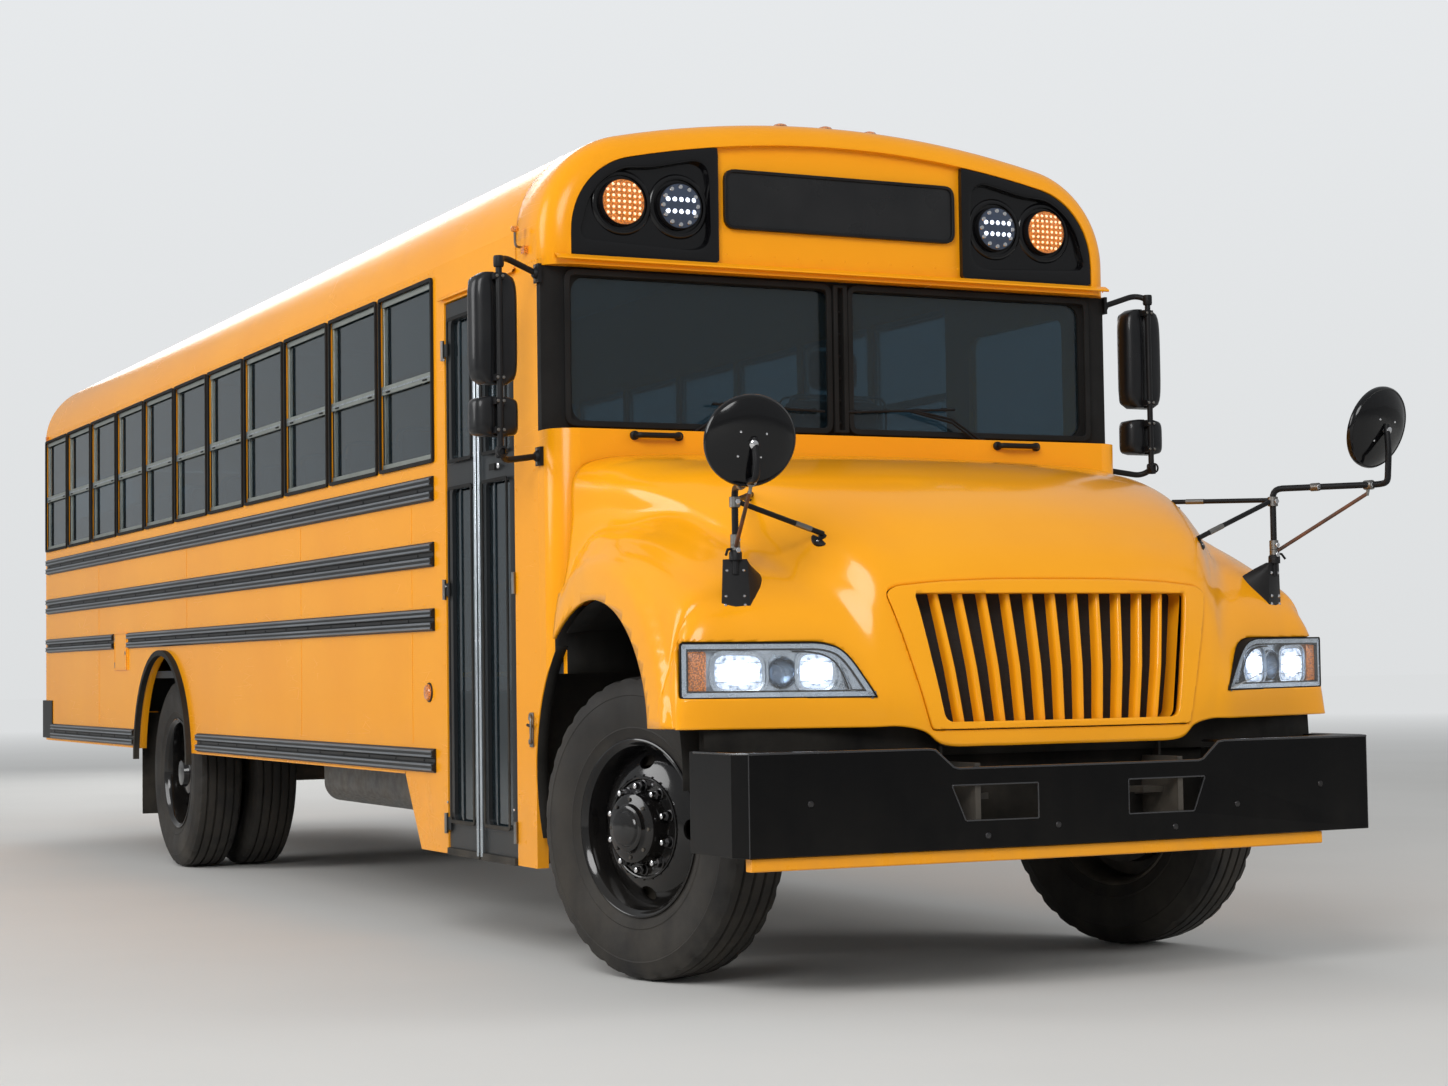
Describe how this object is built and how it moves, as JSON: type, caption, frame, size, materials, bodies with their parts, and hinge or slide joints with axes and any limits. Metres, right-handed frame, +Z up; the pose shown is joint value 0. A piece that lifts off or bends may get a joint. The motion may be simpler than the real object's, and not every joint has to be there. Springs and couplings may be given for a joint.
{
  "type": "school bus",
  "caption": "Conventional school bus with a tilting hood, steered front wheels, twin rear wheels, folding entry door, rear door, roof hatches and a swing-out stop sign.",
  "frame": {"origin": "on the ground under the middle of the bus, halfway between the outermost points of bumpers and mirrors", "axes": "+X forward, +Y to the left of the bus, +Z up"},
  "size_m": [10.8, 2.98, 3.176],
  "materials": {
    "body_yellow": "gloss school bus yellow",
    "roof_white": "gloss white",
    "black_paint": "gloss black",
    "frame_black": "satin black chassis paint",
    "door_grey": "dark grey coated aluminium",
    "cast": "raw cast metal",
    "glass": "lightly tinted",
    "lamp_lens": "moulded lamp lens",
    "headlamp": "clear lamp body",
    "black_plastic": "grained black plastic",
    "tyre": "black rubber",
    "rubber": "black rubber",
    "wheel_black": "satin black steel wheel",
    "seat_vinyl": "padded vinyl seat",
    "steel": "bare steel",
    "aluminium": "mill finish",
    "red_paint": "red sheet sign"
  },
  "bodies": {
    "bus": {"left_wall": "body_yellow", "right_wall": "body_yellow", "cowl": "body_yellow", "front_cap": "body_yellow", "rear_wall": "body_yellow", "entry_rails": "body_yellow", "roof": "roof_white", "front_bumper": "black_paint", "rear_bumper": "black_paint", "rub_rails": "black_paint", "cap_panels": "black_paint", "side_mirrors": "black_paint", "chassis_frame": "frame_black", "leaf_springs": "frame_black", "drive_shaft": "frame_black", "floor": "frame_black", "entry_steps": "frame_black", "seat_frames": "frame_black", "front_axle_beam": "cast", "rear_axle": "cast", "engine": "cast", "window_glass": "glass", "body_lamps": "lamp_lens", "dashboard": "black_plastic", "windshield_frame": "black_plastic", "wipers": "black_plastic", "wheel_guards": "rubber", "driver_seat": "seat_vinyl", "passenger_seats": "seat_vinyl", "exhaust": "steel", "fuel_tank": "steel", "hatch_frames": "steel", "body_fittings": "steel", "radiator": "aluminium", "window_sashes": "aluminium"},
    "hood": {"hood": "body_yellow", "grille": "body_yellow", "headlamps": "headlamp", "crossview_mirrors": "black_paint"},
    "right_knuckle": {"right_knuckle": "cast"},
    "left_knuckle": {"left_knuckle": "cast"},
    "tie_rod": {"tie_rod": "cast"},
    "front_right_wheel": {"front_right_wheel": "wheel_black", "front_right_tyre": "tyre"},
    "front_left_wheel": {"front_left_wheel": "wheel_black", "front_left_tyre": "tyre"},
    "rear_right_wheels": {"rear_right_wheels": "wheel_black", "rear_right_tyres": "tyre"},
    "rear_left_wheels": {"rear_left_wheels": "wheel_black", "rear_left_tyres": "tyre"},
    "entry_door_front": {"entry_door_front": "door_grey", "entry_door_front_glass": "glass"},
    "entry_door_rear": {"entry_door_rear": "door_grey", "entry_door_rear_glass": "glass"},
    "rear_door": {"rear_door": "body_yellow", "rear_door_glass": "glass"},
    "stop_arm": {"stop_arm": "red_paint"},
    "roof_hatch_front": {"roof_hatch_front": "roof_white"},
    "roof_hatch_rear": {"roof_hatch_rear": "roof_white"},
    "steering_wheel": {"steering_wheel": "black_plastic"}
  },
  "joints": [
    {"name": "right_steer", "type": "hinge", "parent": "bus", "child": "right_knuckle", "pos_m": [4.25, -0.86, 0.52], "axis": [0, 0, 1], "range_deg": [-51, 19]},
    {"name": "left_steer", "type": "hinge", "parent": "bus", "child": "left_knuckle", "pos_m": [4.25, 0.86, 0.52], "axis": [0, 0, 1], "range_deg": [-51, 19]},
    {"name": "tie_rod_pivot", "type": "hinge", "parent": "right_knuckle", "child": "tie_rod", "pos_m": [4.06736, -0.91237, 0.392], "axis": [0, 0, 1], "range_deg": [-19, 51]},
    {"name": "front_right_spin", "type": "hinge", "parent": "right_knuckle", "child": "front_right_wheel", "pos_m": [4.28859, -0.99458, 0.52], "axis": [-0.2756, 0.9613, 0], "continuous": true},
    {"name": "front_left_spin", "type": "hinge", "parent": "left_knuckle", "child": "front_left_wheel", "pos_m": [4.21141, 0.99458, 0.52], "axis": [-0.2756, 0.9613, 0], "continuous": true},
    {"name": "rear_right_spin", "type": "hinge", "parent": "bus", "child": "rear_right_wheels", "pos_m": [-1.914, -1.03, 0.52], "axis": [0, 1, 0], "continuous": true},
    {"name": "rear_left_spin", "type": "hinge", "parent": "bus", "child": "rear_left_wheels", "pos_m": [-1.914, 1.03, 0.52], "axis": [0, 1, 0], "continuous": true},
    {"name": "hood_tilt", "type": "hinge", "parent": "bus", "child": "hood", "pos_m": [5.24, 0, 0.83], "axis": [0, 1, 0], "range_deg": [0, 55]},
    {"name": "entry_door_front_hinge", "type": "hinge", "parent": "bus", "child": "entry_door_front", "pos_m": [3.503, -1.227, 1.4], "axis": [0, 0, 1], "range_deg": [0, 90]},
    {"name": "entry_door_rear_hinge", "type": "hinge", "parent": "bus", "child": "entry_door_rear", "pos_m": [2.749, -1.227, 1.4], "axis": [0, 0, 1], "range_deg": [-90, 0]},
    {"name": "rear_door_hinge", "type": "hinge", "parent": "bus", "child": "rear_door", "pos_m": [-5.292, -0.48, 1.7], "axis": [0, 0, 1], "range_deg": [0, 110]},
    {"name": "stop_arm_hinge", "type": "hinge", "parent": "bus", "child": "stop_arm", "pos_m": [2.739, 1.259, 1.66], "axis": [0, 0, 1], "range_deg": [-90, 0]},
    {"name": "roof_hatch_front_hinge", "type": "hinge", "parent": "bus", "child": "roof_hatch_front", "pos_m": [0.948, 0, 3.14], "axis": [0, -1, 0], "range_deg": [0, 60]},
    {"name": "roof_hatch_rear_hinge", "type": "hinge", "parent": "bus", "child": "roof_hatch_rear", "pos_m": [-3.352, 0, 3.14], "axis": [0, -1, 0], "range_deg": [0, 60]},
    {"name": "steering_wheel_turn", "type": "hinge", "parent": "bus", "child": "steering_wheel", "pos_m": [3.28, 0.55, 1.815], "axis": [-0.7071, 0, 0.7071], "range_deg": [-816, 304]}
  ],
  "couplings": [
    {"joint": "left_steer", "follows": "right_steer", "ratio": 1},
    {"joint": "tie_rod_pivot", "follows": "right_steer", "ratio": -1},
    {"joint": "steering_wheel_turn", "follows": "right_steer", "ratio": 16},
    {"joint": "entry_door_rear_hinge", "follows": "entry_door_front_hinge", "ratio": -1}
  ]
}
